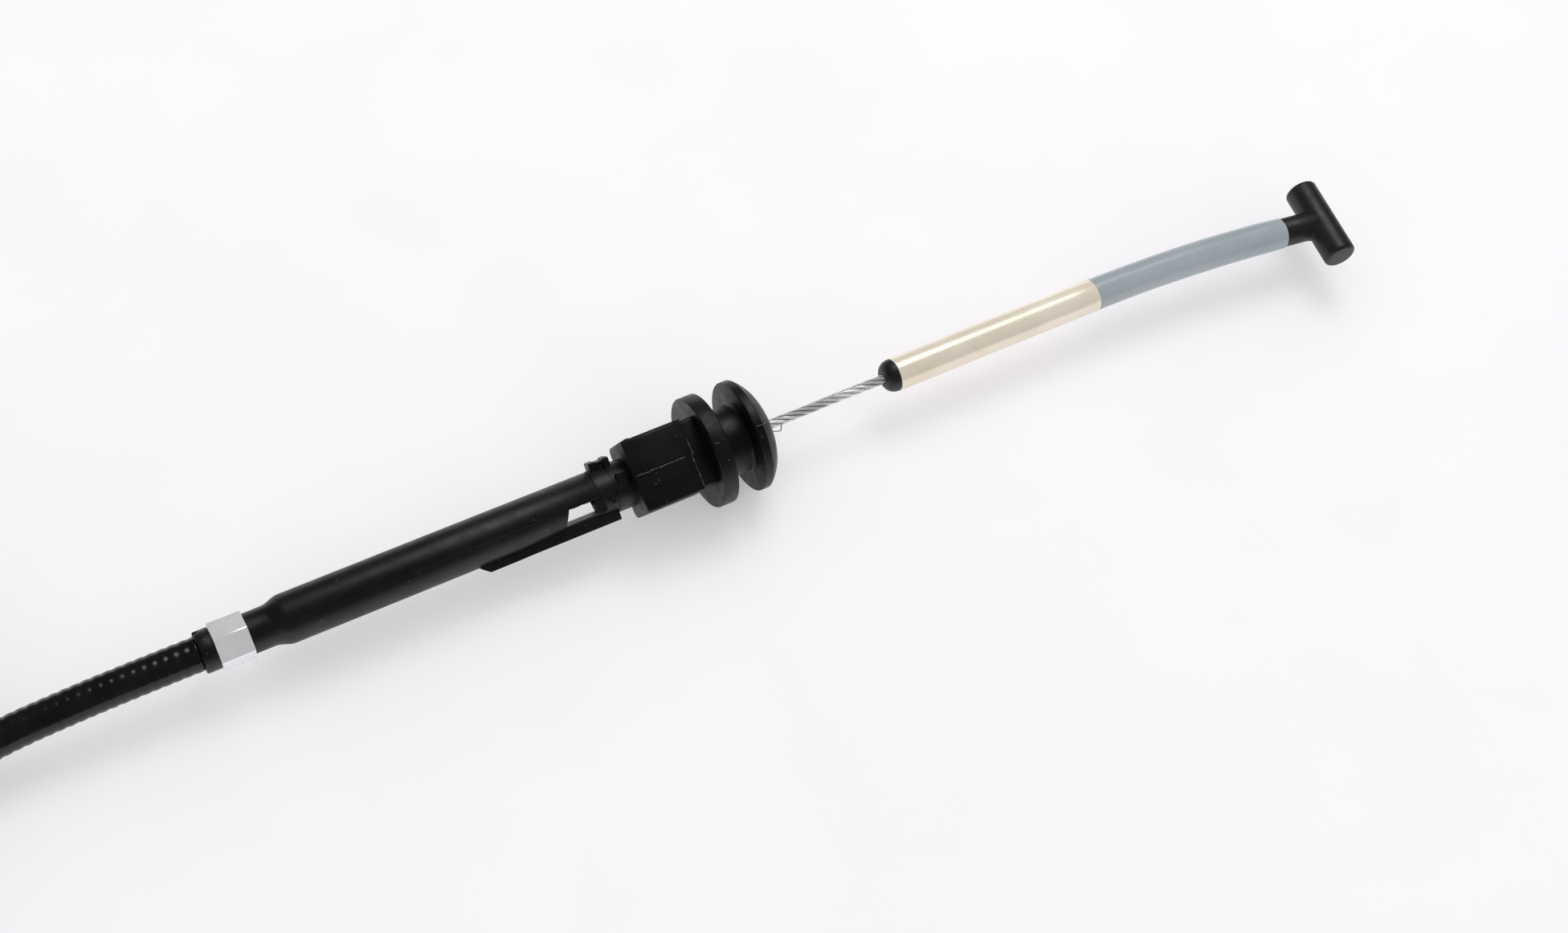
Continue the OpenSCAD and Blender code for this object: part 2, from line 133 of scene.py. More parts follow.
def smooth_path(points, step):
    """A Catmull-Rom curve through the points, resampled so that its points lie step apart."""
    fine = []
    last = len(points) - 1
    for i in range(last):
        before, here = points[max(i - 1, 0)], points[i]
        there, after = points[i + 1], points[min(i + 2, last)]
        parts = max(4, int((there - here).length / step) + 1)
        for k in range(parts):
            t = k / parts
            fine.append(0.5 * (2 * here + (there - before) * t
                               + (2 * before - 5 * here + 4 * there - after) * t ** 2
                               + (3 * here - before - 3 * there + after) * t ** 3))
    fine.append(points[last].copy())
    lengths = [0.0]
    for a, b in zip(fine, fine[1:]):
        lengths.append(lengths[-1] + (b - a).length)
    count = max(2, round(lengths[-1] / step))
    even, k = [], 0
    for i in range(count + 1):
        want = lengths[-1] * i / count
        while k < len(fine) - 2 and lengths[k + 1] < want:
            k += 1
        share = (want - lengths[k]) / max(lengths[k + 1] - lengths[k], 1e-12)
        even.append(fine[k].lerp(fine[k + 1], min(1.0, share)))
    return even, lengths[-1]


def mesh_from(name, verts, faces):
    mesh = bpy.data.meshes.new(name)
    mesh.from_pydata([tuple(v) for v in verts], [], faces)
    mesh.update()
    mesh.shade_smooth()
    return mesh


def mesh_piece(name, verts, faces):
    piece = bpy.data.objects.new(name, mesh_from(name, verts, faces))
    bpy.context.scene.collection.objects.link(piece)
    return piece


def skin(rings, n, closed=False):
    """Faces between rings of n points each. A closed skin also joins the last ring to the first."""
    faces = []
    for i in range(rings if closed else rings - 1):
        here, there = i * n, (i + 1) % rings * n
        for k in range(n):
            after = (k + 1) % n
            faces.append((here + k, here + after, there + after, there + k))
    return faces


def caps(rings, n):
    """The two end faces of a row of rings."""
    last = (rings - 1) * n
    return [tuple(range(n))[::-1], tuple(last + k for k in range(n))]


def tube_mesh(path, radius_at, sides):
    """Vertices and faces of a tube along a path. radius_at(index, angle) gives each point's radius."""
    verts = []
    last = len(path) - 1
    tangent = (path[1] - path[0]).normalized()
    steep = abs(tangent.z) >= 0.9
    side = tangent.cross(Vector((0, 1, 0)) if steep else Vector((0, 0, 1))).normalized()
    for i, point in enumerate(path):
        tangent = (path[min(i + 1, last)] - path[max(i - 1, 0)]).normalized()
        side = (side - side.dot(tangent) * tangent).normalized()
        up = side.cross(tangent)
        for k in range(sides):
            angle = 2 * math.pi * k / sides
            verts.append(point + radius_at(i, angle) * (math.cos(angle) * side + math.sin(angle) * up))
    return verts, skin(len(path), sides) + caps(len(path), sides)


RIB_PITCH = 0.00245
RIB_HEIGHT = 0.00017
CONDUIT_STEP = 0.00049
CONDUIT_SIDES = 20


def make_conduit():
    """The jacket, with the armour's wire showing through it as a fine helical rib."""
    route = conduit_route()
    path, length = smooth_path(route, CONDUIT_STEP)
    spacing = length / (len(path) - 1)

    def radius(i, angle):
        wave = math.cos(2 * math.pi * i * spacing / RIB_PITCH - angle)
        return CONDUIT_D / 2 - RIB_HEIGHT * (0.5 - 0.5 * wave) ** 2

    verts, faces = tube_mesh(path, radius, CONDUIT_SIDES)
    piece = mesh_piece("conduit", verts, faces)
    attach(piece, "housing")
    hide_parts("conduit_lead", "conduit_coil", "conduit_tail")
    return piece, path, length


# ---------------------------------------------------------------- shapes
# From here on sizes are in millimetres, with x along the cable, and the fine ones that soften and
# the materials take are in metres. A piece's ends come from its node's box where it has to fit it.
HOUSING_ROLL = math.radians(37)
BLOCK_ROLL = math.radians(25)
SHARP_ANGLE = 38
NEAR_AXIS = 0.001


def span(node):
    """A node's first and last station along the cable, in millimetres."""
    low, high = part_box(node)
    return low[0] / MM, high[0] / MM


def size_of(node, axis):
    """A node's size along an axis, in millimetres."""
    low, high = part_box(node)
    return (high[axis] - low[axis]) / MM


class Shell:
    """Collects vertices and faces, in millimetres, for one piece."""

    def __init__(self):
        self.verts = []
        self.faces = []

    def add(self, verts, faces):
        start = len(self.verts)
        self.verts += [Vector(v) for v in verts]
        self.faces += [tuple(start + i for i in f) for f in faces]
        return self

    def lathe(self, profile, sides=96):
        """A closed profile of (x, r) points spun about the cable axis."""
        verts = []
        for k in range(sides):
            a = 2 * math.pi * k / sides
            verts += [(x, r * math.sin(a), r * math.cos(a)) for x, r in profile]
        return self.add(verts, skin(sides, len(profile), closed=True))

    def loft(self, rings):
        """Skin between rings that all have the same number of points, with both ends closed."""
        n = len(rings[0])
        return self.add([p for ring in rings for p in ring], skin(len(rings), n) + caps(len(rings), n))

    def sleeve(self, rings):
        """Skin between rings, closed from the last ring back to the first."""
        return self.add([p for ring in rings for p in ring],
                        skin(len(rings), len(rings[0]), closed=True))

    def box(self, low, high, soft=0.15):
        """A block with soft edges between two corners."""
        rings = []
        for x, inset in soft_stations(low[0], high[0], soft):
            rings.append([(x, y, z) for y, z in rounded_box(
                low[1] + inset, high[1] - inset, low[2] + inset, high[2] - inset, soft)])
        return self.loft(rings)

    def tube(self, path, radius, sides):
        """A round wire or rod along a path."""
        verts, faces = tube_mesh([Vector(p) for p in path], lambda i, a: radius, sides)
        return self.add(verts, faces)

    def turned(self, angle):
        """Turns everything so far about the cable axis."""
        turn = Matrix.Rotation(angle, 3, "X")
        self.verts = [turn @ v for v in self.verts]
        return self

    def moved(self, y, z):
        """Moves everything so far across the cable axis."""
        self.verts = [v + Vector((0, y, z)) for v in self.verts]
        return self

    def piece(self, name, sharp_angle=SHARP_ANGLE):
        """The finished mesh as an object, with edges sharper than the angle left sharp."""
        piece = mesh_piece(name, [v * MM for v in self.verts], self.faces)
        outward(piece)
        piece.data.set_sharp_from_angle(angle=math.radians(sharp_angle))
        return piece


def outward(piece):
    """Turns a piece's faces to look outward."""
    work = bmesh.new()
    work.from_mesh(piece.data)
    bmesh.ops.recalc_face_normals(work, faces=work.faces)
    work.to_mesh(piece.data)
    work.free()


def soft_stations(x0, x1, soft):
    """Stations with an inset that rounds both ends."""
    return [(x0, soft), (x0 + 0.3 * soft, 0.3 * soft), (x0 + soft, 0),
            (x1 - soft, 0), (x1 - 0.3 * soft, 0.3 * soft), (x1, soft)]


def arc(cx, cy, r, a0, a1, n):
    """Points of an arc from angle a0 to a1, in degrees."""
    out = []
    for i in range(n + 1):
        a = math.radians(a0 + (a1 - a0) * i / n)
        out.append((cx + r * math.cos(a), cy + r * math.sin(a)))
    return out


def rounded_box(y0, y1, z0, z1, r):
    """Outline of a rectangle with rounded corners, in (y, z)."""
    steps = 3
    return (arc(y1 - r, z1 - r, r, 0, 90, steps) + arc(y0 + r, z1 - r, r, 90, 180, steps)
            + arc(y0 + r, z0 + r, r, 180, 270, steps) + arc(y1 - r, z0 + r, r, 270, 360, steps))


def block_ring(x, half):
    """The block's outline: a rectangle that reaches further on its near side."""
    near_r, far, far_r = 0.9, 3.6, 1.6
    pts = (arc(half - near_r, half - near_r, near_r, 0, 90, 4)
           + arc(-half + near_r, half - near_r, near_r, 90, 180, 4)
           + arc(-half + far_r, -far + far_r, far_r, 180, 270, 4)
           + arc(half - far_r, -far + far_r, far_r, 270, 360, 4))
    return [(x, y, z) for y, z in pts]


def hex_ring(x, corner_r, round_r, turn):
    """A hexagon with rounded corners, across a plane at x."""
    pts = []
    for k in range(6):
        mid = turn + k * math.pi / 3
        reach = corner_r - round_r / math.cos(math.pi / 6)
        cy, cz = reach * math.sin(mid), -reach * math.cos(mid)
        for j in range(5):
            a = mid + math.radians(-30 + 15 * j)
            pts.append((x, cy + round_r * math.sin(a), cz - round_r * math.cos(a)))
    return pts


def cut(piece, cutter):
    """Cuts one piece with another, which is then gone."""
    modifier = piece.modifiers.new("cut", "BOOLEAN")
    modifier.object = cutter
    modifier.operation = "DIFFERENCE"
    modifier.solver = "EXACT"
    bake(piece)
    bpy.data.objects.remove(cutter)


def rod_cutter(x0, x1, r):
    """A plain rod about the cable axis, to cut a bore with."""
    return Shell().lathe([(x0, NEAR_AXIS), (x0, r), (x1, r), (x1, NEAR_AXIS)]).piece("rod_cutter")


def soften(piece, width):
    """Rounds a piece's sharp edges a little, by a width in metres."""
    modifier = piece.modifiers.new("soft", "BEVEL")
    modifier.width = width
    modifier.segments = 2
    modifier.limit_method = "ANGLE"
    modifier.angle_limit = math.radians(50)
    modifier.use_clamp_overlap = True
    bake(piece)


def bake(piece):
    """Applies a piece's modifiers to its mesh."""
    view = bpy.context.evaluated_depsgraph_get()
    view.update()
    made = bpy.data.meshes.new_from_object(piece.evaluated_get(view))
    piece.modifiers.clear()
    made.shade_smooth()
    swap_mesh(piece, made)


def swap_mesh(piece, mesh):
    mesh.set_sharp_from_angle(angle=math.radians(SHARP_ANGLE))
    old = piece.data
    piece.data = mesh
    bpy.data.meshes.remove(old)


def join(piece, *others):
    """Puts the others' meshes into the piece."""
    verts = [v.co.copy() for v in piece.data.vertices]
    faces = [tuple(p.vertices) for p in piece.data.polygons]
    for other in others:
        start = len(verts)
        verts += [v.co.copy() for v in other.data.vertices]
        faces += [tuple(start + i for i in p.vertices) for p in other.data.polygons]
        bpy.data.objects.remove(other)
    swap_mesh(piece, mesh_from(piece.name, verts, faces))


def turn_piece(piece, angle):
    """Turns a piece about the cable axis."""
    piece.data.transform(Matrix.Rotation(angle, 4, "X"))


def place(piece, body, slot, material, *nodes):
    """Says what a finished piece rides on, stands for and is made of."""
    piece.data.materials.clear()
    piece.data.materials.append(material)
    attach(piece, body)
    if nodes:
        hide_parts(*nodes)
    return piece


# ---------------------------------------------------------------- materials
class Recipe:
    """One procedural material: object-space noise drives its colour, roughness and bump."""

    def __init__(self, name, **sockets):
        self.material = bpy.data.materials.new(name)
        self.material.use_nodes = True
        self.tree = self.material.node_tree
        self.shader = self.tree.nodes["Principled BSDF"]
        for socket, value in sockets.items():
            self.shader.inputs[socket.replace("_", " ")].default_value = value
        self.place = self.tree.nodes.new("ShaderNodeTexCoord").outputs["Object"]
        self.normal = None

    def link(self, a, b):
        self.tree.links.new(a, b)

    def stretched(self, scale):
        """The object's own coordinates, stretched along each axis."""
        node = self.tree.nodes.new("ShaderNodeMapping")
        node.inputs["Scale"].default_value = scale
        self.link(self.place, node.inputs["Vector"])
        return node.outputs["Vector"]

    def noise(self, scale, detail=4.0, stretch=None, rough=0.55):
        node = self.tree.nodes.new("ShaderNodeTexNoise")
        node.inputs["Scale"].default_value = scale
        node.inputs["Detail"].default_value = detail
        node.inputs["Roughness"].default_value = rough
        self.link(self.stretched(stretch) if stretch else self.place, node.inputs["Vector"])
        return node.outputs["Fac"]

    def ramp(self, fac, stops):
        """Colours by a value, from (position, colour) stops."""
        node = self.tree.nodes.new("ShaderNodeValToRGB")
        ramp = node.color_ramp
        while len(ramp.elements) < len(stops):
            ramp.elements.new(0.5)
        for element, (at, colour) in zip(ramp.elements, stops):
            element.position = at
            element.color = (*colour, 1)
        self.link(fac, node.inputs["Fac"])
        return node.outputs["Color"]

    def range(self, fac, low, high, start=0.3, end=0.7):
        """Maps a value that runs from start to end onto low to high."""
        node = self.tree.nodes.new("ShaderNodeMapRange")
        node.inputs["From Min"].default_value = start
        node.inputs["From Max"].default_value = end
        node.inputs["To Min"].default_value = low
        node.inputs["To Max"].default_value = high
        self.link(fac, node.inputs["Value"])
        return node.outputs["Result"]

    def mix(self, fac, a, b):
        """A colour between a and b; each is a socket or a colour."""
        node = self.tree.nodes.new("ShaderNodeMix")
        node.data_type = "RGBA"
        self.link(fac, node.inputs["Factor"])
        for value, socket in ((a, node.inputs[6]), (b, node.inputs[7])):
            if isinstance(value, bpy.types.NodeSocket):
                self.link(value, socket)
            else:
                socket.default_value = (*value, 1)
        return node.outputs[2]

    def specks(self, scale, size):
        """A mask of sparse small specks, such as lint."""
        cells = self.tree.nodes.new("ShaderNodeTexVoronoi")
        cells.inputs["Scale"].default_value = scale
        self.link(self.place, cells.inputs["Vector"])
        return self.range(cells.outputs["Distance"], 1, 0, size * 0.6, size)

    def colour(self, value):
        self.link(value, self.shader.inputs["Base Color"])
        return self

    def roughness(self, value):
        self.link(value, self.shader.inputs["Roughness"])
        return self

    def bump(self, height, distance, strength):
        """Adds relief on top of any relief that is there already."""
        node = self.tree.nodes.new("ShaderNodeBump")
        node.inputs["Strength"].default_value = strength
        node.inputs["Distance"].default_value = distance
        self.link(height, node.inputs["Height"])
        if self.normal:
            self.link(self.normal, node.inputs["Normal"])
        self.normal = node.outputs["Normal"]
        self.link(self.normal, self.shader.inputs["Normal"])
        return self


def moulded_plastic(name, dark, light, rough, dust=0.5):
    """Satin moulded plastic: cloudy tone, fine grain, faint handling marks and a little lint."""
    grain = 0.00002
    m = Recipe(name, Specular_IOR_Level=0.5)
    base = m.ramp(m.noise(160, 5), [(0.3, dark), (0.7, light)])
    dusty = tuple(min(1.0, c + 0.22) for c in light)
    m.colour(m.mix(m.range(m.specks(430, 0.06), 0, dust, 0, 1), base, dusty))
    m.roughness(m.range(m.noise(240, 6), rough - 0.07, rough + 0.08))
    m.bump(m.noise(5200, 2), grain, 0.35)
    m.bump(m.noise(420, 3), grain * 3, 0.25)
    return m.material


def rubber(name, dark, light, rough):
    """Dull rubber, with coarser grain than the plastic and some lint."""
    m = Recipe(name, Specular_IOR_Level=0.4)
    base = m.ramp(m.noise(130, 6), [(0.28, dark), (0.72, light)])
    dusty = tuple(min(1.0, c + 0.2) for c in light)
    m.colour(m.mix(m.range(m.specks(400, 0.07), 0, 0.5, 0, 1), base, dusty))
    m.roughness(m.range(m.noise(300, 6), rough - 0.08, rough + 0.1))
    m.bump(m.noise(3800, 3), 0.00003, 0.4)
    m.bump(m.noise(350, 2), 0.00008, 0.25)
    return m.material


def jacket_material():
    """The conduit's PVC jacket: glossy black, with a cloudy tone and a fine grain."""
    m = Recipe("conduit_jacket", Specular_IOR_Level=0.42)
    m.colour(m.ramp(m.noise(210, 5), [(0.3, (0.003, 0.0035, 0.004)), (0.75, (0.008, 0.009, 0.0105))]))
    m.roughness(m.range(m.noise(420, 6), 0.13, 0.24))
    m.bump(m.noise(2600, 3), 0.00002, 0.3)
    return m.material


def satin_metal(name, dark, light, rough, stretch=(30, 700, 700), metallic=1.0):
    """Plated or drawn metal with fine lines along the cable."""
    brush = 0.000012
    m = Recipe(name, Metallic=metallic)
    lines = m.noise(1, 6, stretch, 0.65)
    m.colour(m.ramp(m.noise(90, 5), [(0.3, dark), (0.7, light)]))
    m.roughness(m.range(lines, rough - 0.06, rough + 0.1))
    m.bump(lines, brush, 0.35)
    m.bump(m.noise(260, 4), brush * 4, 0.15)
    return m.material


def rope_material():
    """Bright steel wires, with painted shade dark in the valleys between the strands."""
    valley_r, crown_r = 0.0008, 0.00103
    m = Recipe("rope_steel", Metallic=0.6)
    from_axis = m.tree.nodes.new("ShaderNodeVectorMath")
    from_axis.operation = "LENGTH"
    m.link(m.stretched((0, 1, 1)), from_axis.inputs[0])
    steel = m.ramp(m.noise(1, 4, (200, 3000, 3000)),
                   [(0.3, (0.74, 0.74, 0.74)), (0.7, (0.92, 0.92, 0.92))])
    # Painted shade: the colour darkens towards the rope's axis, in the valleys between the strands.
    unshaded_crown = m.range(from_axis.outputs["Value"], 0, 1, valley_r, crown_r)
    m.colour(m.mix(unshaded_crown, (0.05, 0.05, 0.047), steel))
    m.roughness(m.range(m.noise(900, 4), 0.25, 0.4))
    return m.material


def sleeve_plastic_material():
    """Smooth blue-grey tube: slightly cloudy and translucent, with a soft coat of gloss."""
    m = Recipe("sleeve_plastic", Specular_IOR_Level=0.5, Subsurface_Weight=0.15,
               Subsurface_Scale=0.001, Coat_Weight=0.25, Coat_Roughness=0.25)
    m.colour(m.ramp(m.noise(70, 5, (0.35, 1, 1)),
                    [(0.25, (0.25, 0.295, 0.31)), (0.75, (0.345, 0.39, 0.405))]))
    m.roughness(m.range(m.noise(300, 5, (0.2, 1, 1)), 0.18, 0.3))
    m.bump(m.noise(1, 3, (80, 900, 900)), 0.00001, 0.3)
    return m.material


def flash_and_highlight_material():
    """Pale worn flash where the mould's halves met, also used for painted highlight lines along the
    block's front edge.
    """
    m = Recipe("flash_and_edge_highlight", Specular_IOR_Level=0.5)
    m.colour(m.ramp(m.noise(1300, 4), [(0.42, (0.03, 0.032, 0.032)), (0.6, (0.2, 0.205, 0.2))]))
    m.roughness(m.range(m.noise(600, 4), 0.4, 0.65))
    return m.material


BLACK = moulded_plastic("black_plastic", (0.002, 0.0026, 0.0025), (0.005, 0.0061, 0.0058), 0.42)
BLACK_T = moulded_plastic("black_t_plastic", (0.006, 0.0075, 0.0072), (0.012, 0.0142, 0.0138), 0.42,
                          dust=0.2)
GROMMET = rubber("grommet_rubber", (0.0015, 0.002, 0.0019), (0.004, 0.005, 0.0047), 0.42)
SEAL = rubber("seal_rubber", (0.012, 0.012, 0.012), (0.025, 0.025, 0.025), 0.6)
NATURAL = moulded_plastic("natural_plastic", (0.6, 0.59, 0.53), (0.72, 0.7, 0.64), 0.4, dust=0.0)
JACKET = jacket_material()
CRIMP = satin_metal("crimp_alloy", (0.84, 0.85, 0.86), (0.95, 0.955, 0.96), 0.2, (60, 500, 500),
                    metallic=0.5)
CHAMPAGNE = satin_metal("sleeve_metal", (0.8, 0.715, 0.57), (0.9, 0.83, 0.69), 0.24, metallic=0.3)
ROPE = rope_material()
SPRUNG = satin_metal("sprung_wire", (0.16, 0.16, 0.155), (0.3, 0.3, 0.29), 0.35)
ARMOUR = satin_metal("armour_steel", (0.4, 0.41, 0.43), (0.56, 0.57, 0.59), 0.35)
BRASS = satin_metal("brass", (0.62, 0.45, 0.18), (0.8, 0.6, 0.28), 0.3)
PLATED = satin_metal("plated_steel", (0.5, 0.48, 0.41), (0.66, 0.64, 0.57), 0.28, (300, 400, 400),
                     metallic=0.65)
BLUE_GREY = sleeve_plastic_material()
FLASH_AND_EDGE_HIGHLIGHT = flash_and_highlight_material()
TIE = moulded_plastic("tie_plastic", (0.03, 0.03, 0.031), (0.05, 0.05, 0.052), 0.5)


# ---------------------------------------------------------------- the housing's pieces
BORE_R = 4.6
GUIDE_R = 6.0
LATCH_R = 6.1
LATCH_COLLAR_R = 6.07
LATCH_REAR = -36.0
# Where the guide tube's front end meets the step inside the latch sleeve
SEAT_X = -34.3
CUT_FRONT = -30.0


def swelling(x0, x1, r0, r1, steps=10):
    """A smooth change of radius between two stations."""
    return [(x0 + (x1 - x0) * i / steps, r0 + (r1 - r0) * ease(i / steps)) for i in range(steps + 1)]


def make_guide_tube():
    rear = span("guide_tube")[0]
    neck_r, collar_r, collar_front = 4.9, 5.05, -131.1
    conduit_r, conduit_seat, rope_r, bore_rear = 4.2, -117.2, 3.0, -113.0
    shell = Shell()
    shell.lathe(
        [(rear, conduit_r), (rear, collar_r - 0.3), (rear + 0.1, collar_r - 0.1),
         (rear + 0.35, collar_r), (collar_front - 0.2, collar_r), (collar_front, neck_r)]
        + swelling(-118.4, -113.9, neck_r, GUIDE_R)
        + [(-80, GUIDE_R + 0.02), (SEAT_X - 0.2, GUIDE_R), (SEAT_X, GUIDE_R - 0.15), (SEAT_X, BORE_R),
           (bore_rear, BORE_R), (bore_rear, rope_r), (conduit_seat, rope_r), (conduit_seat, conduit_r)])
    tube = shell.piece("guide_tube_shell")
    cut_windows(tube)
    cut(tube, Shell().box((rear - 1, 4.2, -1.2), (rear + 1.2, 7, 1.2), 0.2).piece("notch_cutter"))
    soften(tube, 0.00015)
    join(tube, make_rail(), make_ridges())
    tube.name = "guide_tube_body"
    turn_piece(tube, HOUSING_ROLL)
    return place(tube, "housing", "black_plastic", BLACK, "guide_tube")


def cut_windows(tube):
    """A window on the near side, with a ragged upper edge, and a longer one on the far side."""
    front = -35.2
    near = [(-46.0, -3.8), (front, -3.8), (front, 0.0), (-38.5, 0.06), (-41.0, -0.08), (-44.4, 0.0)]
    cut(tube, Shell().loft([[(x, y, z) for x, y in near] for z in (0, 9)]).piece("near_window"))
    cut(tube, Shell().box((-48.0, -4.6, -9), (front, 2.2, -0.5), 0.35).piece("far_window"))


def make_ridges():
    """The two parting lines along the guide tube."""
    ridges = Shell()
    for side in (0, math.pi):
        strip = Shell().box((-112, -0.12, GUIDE_R - 0.3), (-49, 0.12, GUIDE_R + 0.06), 0.05)
        strip.turned(side)
        ridges.add(strip.verts, strip.faces)
    return ridges.piece("guide_ridge")


def make_rail():
    """The rail below the tube. Its top rises towards the window, and its sides spread with it."""
    front, rear, foot_front = -32.4, -68.3, -66.4
    rise_from, rise_to, rise_steps = -59.0, -47.0, 12
    rise = [rise_from + (rise_to - rise_from) * i / rise_steps for i in range(rise_steps + 1)]
    rings = []
    for x in [rear, foot_front] + rise + [LATCH_REAR, front]:
        t = min(1.0, max(0.0, (x - rise_from) / (rise_to - rise_from)))
        top = -5.4 + 1.0 * t * t
        low = -6.0 if x == rear else -7.55 + 0.3 * t
        half_w = math.sqrt(GUIDE_R ** 2 - top ** 2) + 0.04
        rings.append([(x, top, -half_w), (x, top, half_w), (x, low, half_w), (x, low, -half_w)])
    rail = Shell().loft(rings).piece("rail")
    cut(rail, rod_cutter(rear - 1.7, CUT_FRONT, BORE_R + 0.02))
    cut(rail, rod_cutter(LATCH_REAR, CUT_FRONT, LATCH_COLLAR_R + 0.02))
    soften(rail, 0.0001)
    return rail


def make_latch_sleeve():
    front = 3.0
    rim_front, groove_front = -32.1, -31.8
    groove_r = LATCH_R - 0.22
    inner_r = GUIDE_R + 0.01
    shell = Shell().lathe(
        [(LATCH_REAR, inner_r), (LATCH_REAR, LATCH_COLLAR_R), (rim_front, LATCH_COLLAR_R),
         (rim_front, groove_r), (groove_front, groove_r), (groove_front, LATCH_R),
         (front, LATCH_R), (front, BORE_R), (SEAT_X, BORE_R), (SEAT_X, inner_r)])
    core = shell.piece("latch_core")
    join(core, make_latch_details())
    core.name = "latch_sleeve_body"
    turn_piece(core, HOUSING_ROLL)
    return place(core, "housing", "black_plastic", BLACK, "latch_sleeve")


def make_latch_details():
    """The latch's two jaws with the bridge and web between them, its tongue and the small lugs."""
    parts = Shell()
    parts.box((-35.4, 5.5, -1.9), (-33.5, 7.85, 1.9), 0.25)
    parts.box((-31.7, 5.5, -1.9), (-30.0, 7.9, 1.9), 0.25)
    parts.box((-34.0, 6.9, -1.7), (-31.0, 7.55, 1.7), 0.15)
    parts.box((-33.9, 5.5, -1.4), (-31.2, 6.75, 1.4), 0.1)
    tongue = [(-38.3, -1.2), (-37.6, -0.5), (-35.4, -0.4), (-35.4, -3.6), (-36.9, -3.7), (-38.0, -2.9)]
    parts.loft([[(x, y, z) for x, y in tongue] for z in (4.7, 5.85)])
    parts.box((-30.9, 0.4, 5.2), (-27.4, 3.9, 6.32), 0.15)
    parts.box((-34.2, -1.9, 5.5), (-32.9, -1.1, 6.5), 0.12)
    parts.box((-33.7, -2.6, 5.4), (-32.6, -2.1, 6.42), 0.12)
    return parts.piece("latch_details")


FLANGE_R = 14.3
HUB_R = 8.75
BLOCK_HALF = 9.2
BLOCK_REAR, BLOCK_FRONT = -27.4, -11.8
REAR_FLANGE_X = -7.85
GROOVE_HALF = 3.65
RIM_FRONT_X = 6.0
MOUTH_X = 10.45


def make_grommet():
    """The grommet: two flanges with the panel's groove between them, a sloping dome and a block."""
    r, fillet, rim_r, lip_r = FLANGE_R, 0.9, 0.35, 0.3
    # The dome's outline, as (forward of the rim, in from the flange's edge)
    dome = [(0.5, 0.62), (1.3, 1.42), (1.9, 2.15), (2.6, 3.2), (3.25, 4.5), (3.8, 5.9)]
    shell = Shell()
    shell.lathe(
        [(REAR_FLANGE_X, LATCH_R), (REAR_FLANGE_X, r - rim_r)]
        + arc(REAR_FLANGE_X + rim_r, r - rim_r, rim_r, 180, 90, 4)
        + arc(-GROOVE_HALF - rim_r, r - rim_r, rim_r, 90, 0, 4)
        + arc(-GROOVE_HALF + fillet, HUB_R + fillet, fillet, 180, 270, 5)
        + arc(GROOVE_HALF - fillet, HUB_R + fillet, fillet, 270, 360, 5)
        + arc(GROOVE_HALF + rim_r, r - rim_r, rim_r, 180, 90, 4)
        + arc(RIM_FRONT_X - lip_r, r - lip_r, lip_r, 90, 40, 3)
        + [(RIM_FRONT_X + forward, r - inward) for forward, inward in dome]
        + [(MOUTH_X - 0.25, r - 7.0), (MOUTH_X - 0.04, r - 7.7), (MOUTH_X, LATCH_R + 0.15),
           (MOUTH_X - 0.3, LATCH_R)], sides=160)
    collar_r, collar_bore = 7.0, LATCH_R + 0.05
    shell.lathe([(BLOCK_REAR + 0.1, collar_bore), (BLOCK_REAR + 0.1, collar_r - 0.2),
                 (BLOCK_REAR + 0.3, collar_r), (REAR_FLANGE_X + 0.5, collar_r),
                 (REAR_FLANGE_X + 0.5, collar_bore)], sides=64)
    piece = shell.piece("grommet_flanges")
    join(piece, *make_block())
    piece.name = "grommet_body"
    turn_piece(piece, BLOCK_ROLL)
    return place(piece, "housing", "grommet_rubber", GROMMET, "bulkhead_grommet")


def bored(part, name):
    """A part of the grommet's block with the latch sleeve's bore through it."""
    piece = part.piece(name)
    cut(piece, rod_cutter(BLOCK_REAR - 1, MOUTH_X, LATCH_R))
    return piece


def make_block():
    """The grommet's square block, with the step and the small ribs the mould left on it."""
    half, soft = BLOCK_HALF, 0.3
    main = Shell().loft([block_ring(x, half - inset)
                         for x, inset in soft_stations(BLOCK_REAR, BLOCK_FRONT - 0.35, soft)])
    waist = Shell().loft([block_ring(x, half - 0.5 - inset)
                          for x, inset in soft_stations(BLOCK_FRONT - 1, REAR_FLANGE_X + 0.6, soft)])
    inner, outer = 2, half - 0.02
    high = Shell().box((BLOCK_FRONT - 1.6, 0.05, inner), (BLOCK_FRONT + 0.15, half - 0.03, outer), 0.2)
    low = Shell().box((BLOCK_FRONT - 1.5, 0.3 - half, inner), (BLOCK_FRONT - 0.25, -0.05, outer), 0.2)
    ribs = Shell().box((BLOCK_REAR + 1.2, half - 0.6, 6.6), (BLOCK_REAR + 2.6, half + 0.2, 8.4), 0.2)
    ribs.box((REAR_FLANGE_X + 2.2, -0.6, FLANGE_R - 1), (-GROOVE_HALF - 0.1, 0.5, FLANGE_R + 0.1), 0.15)
    return [bored(main, "block_main"), bored(waist, "block_waist"), bored(high, "block_high"),
            bored(low, "block_low"), ribs.piece("block_ribs")]


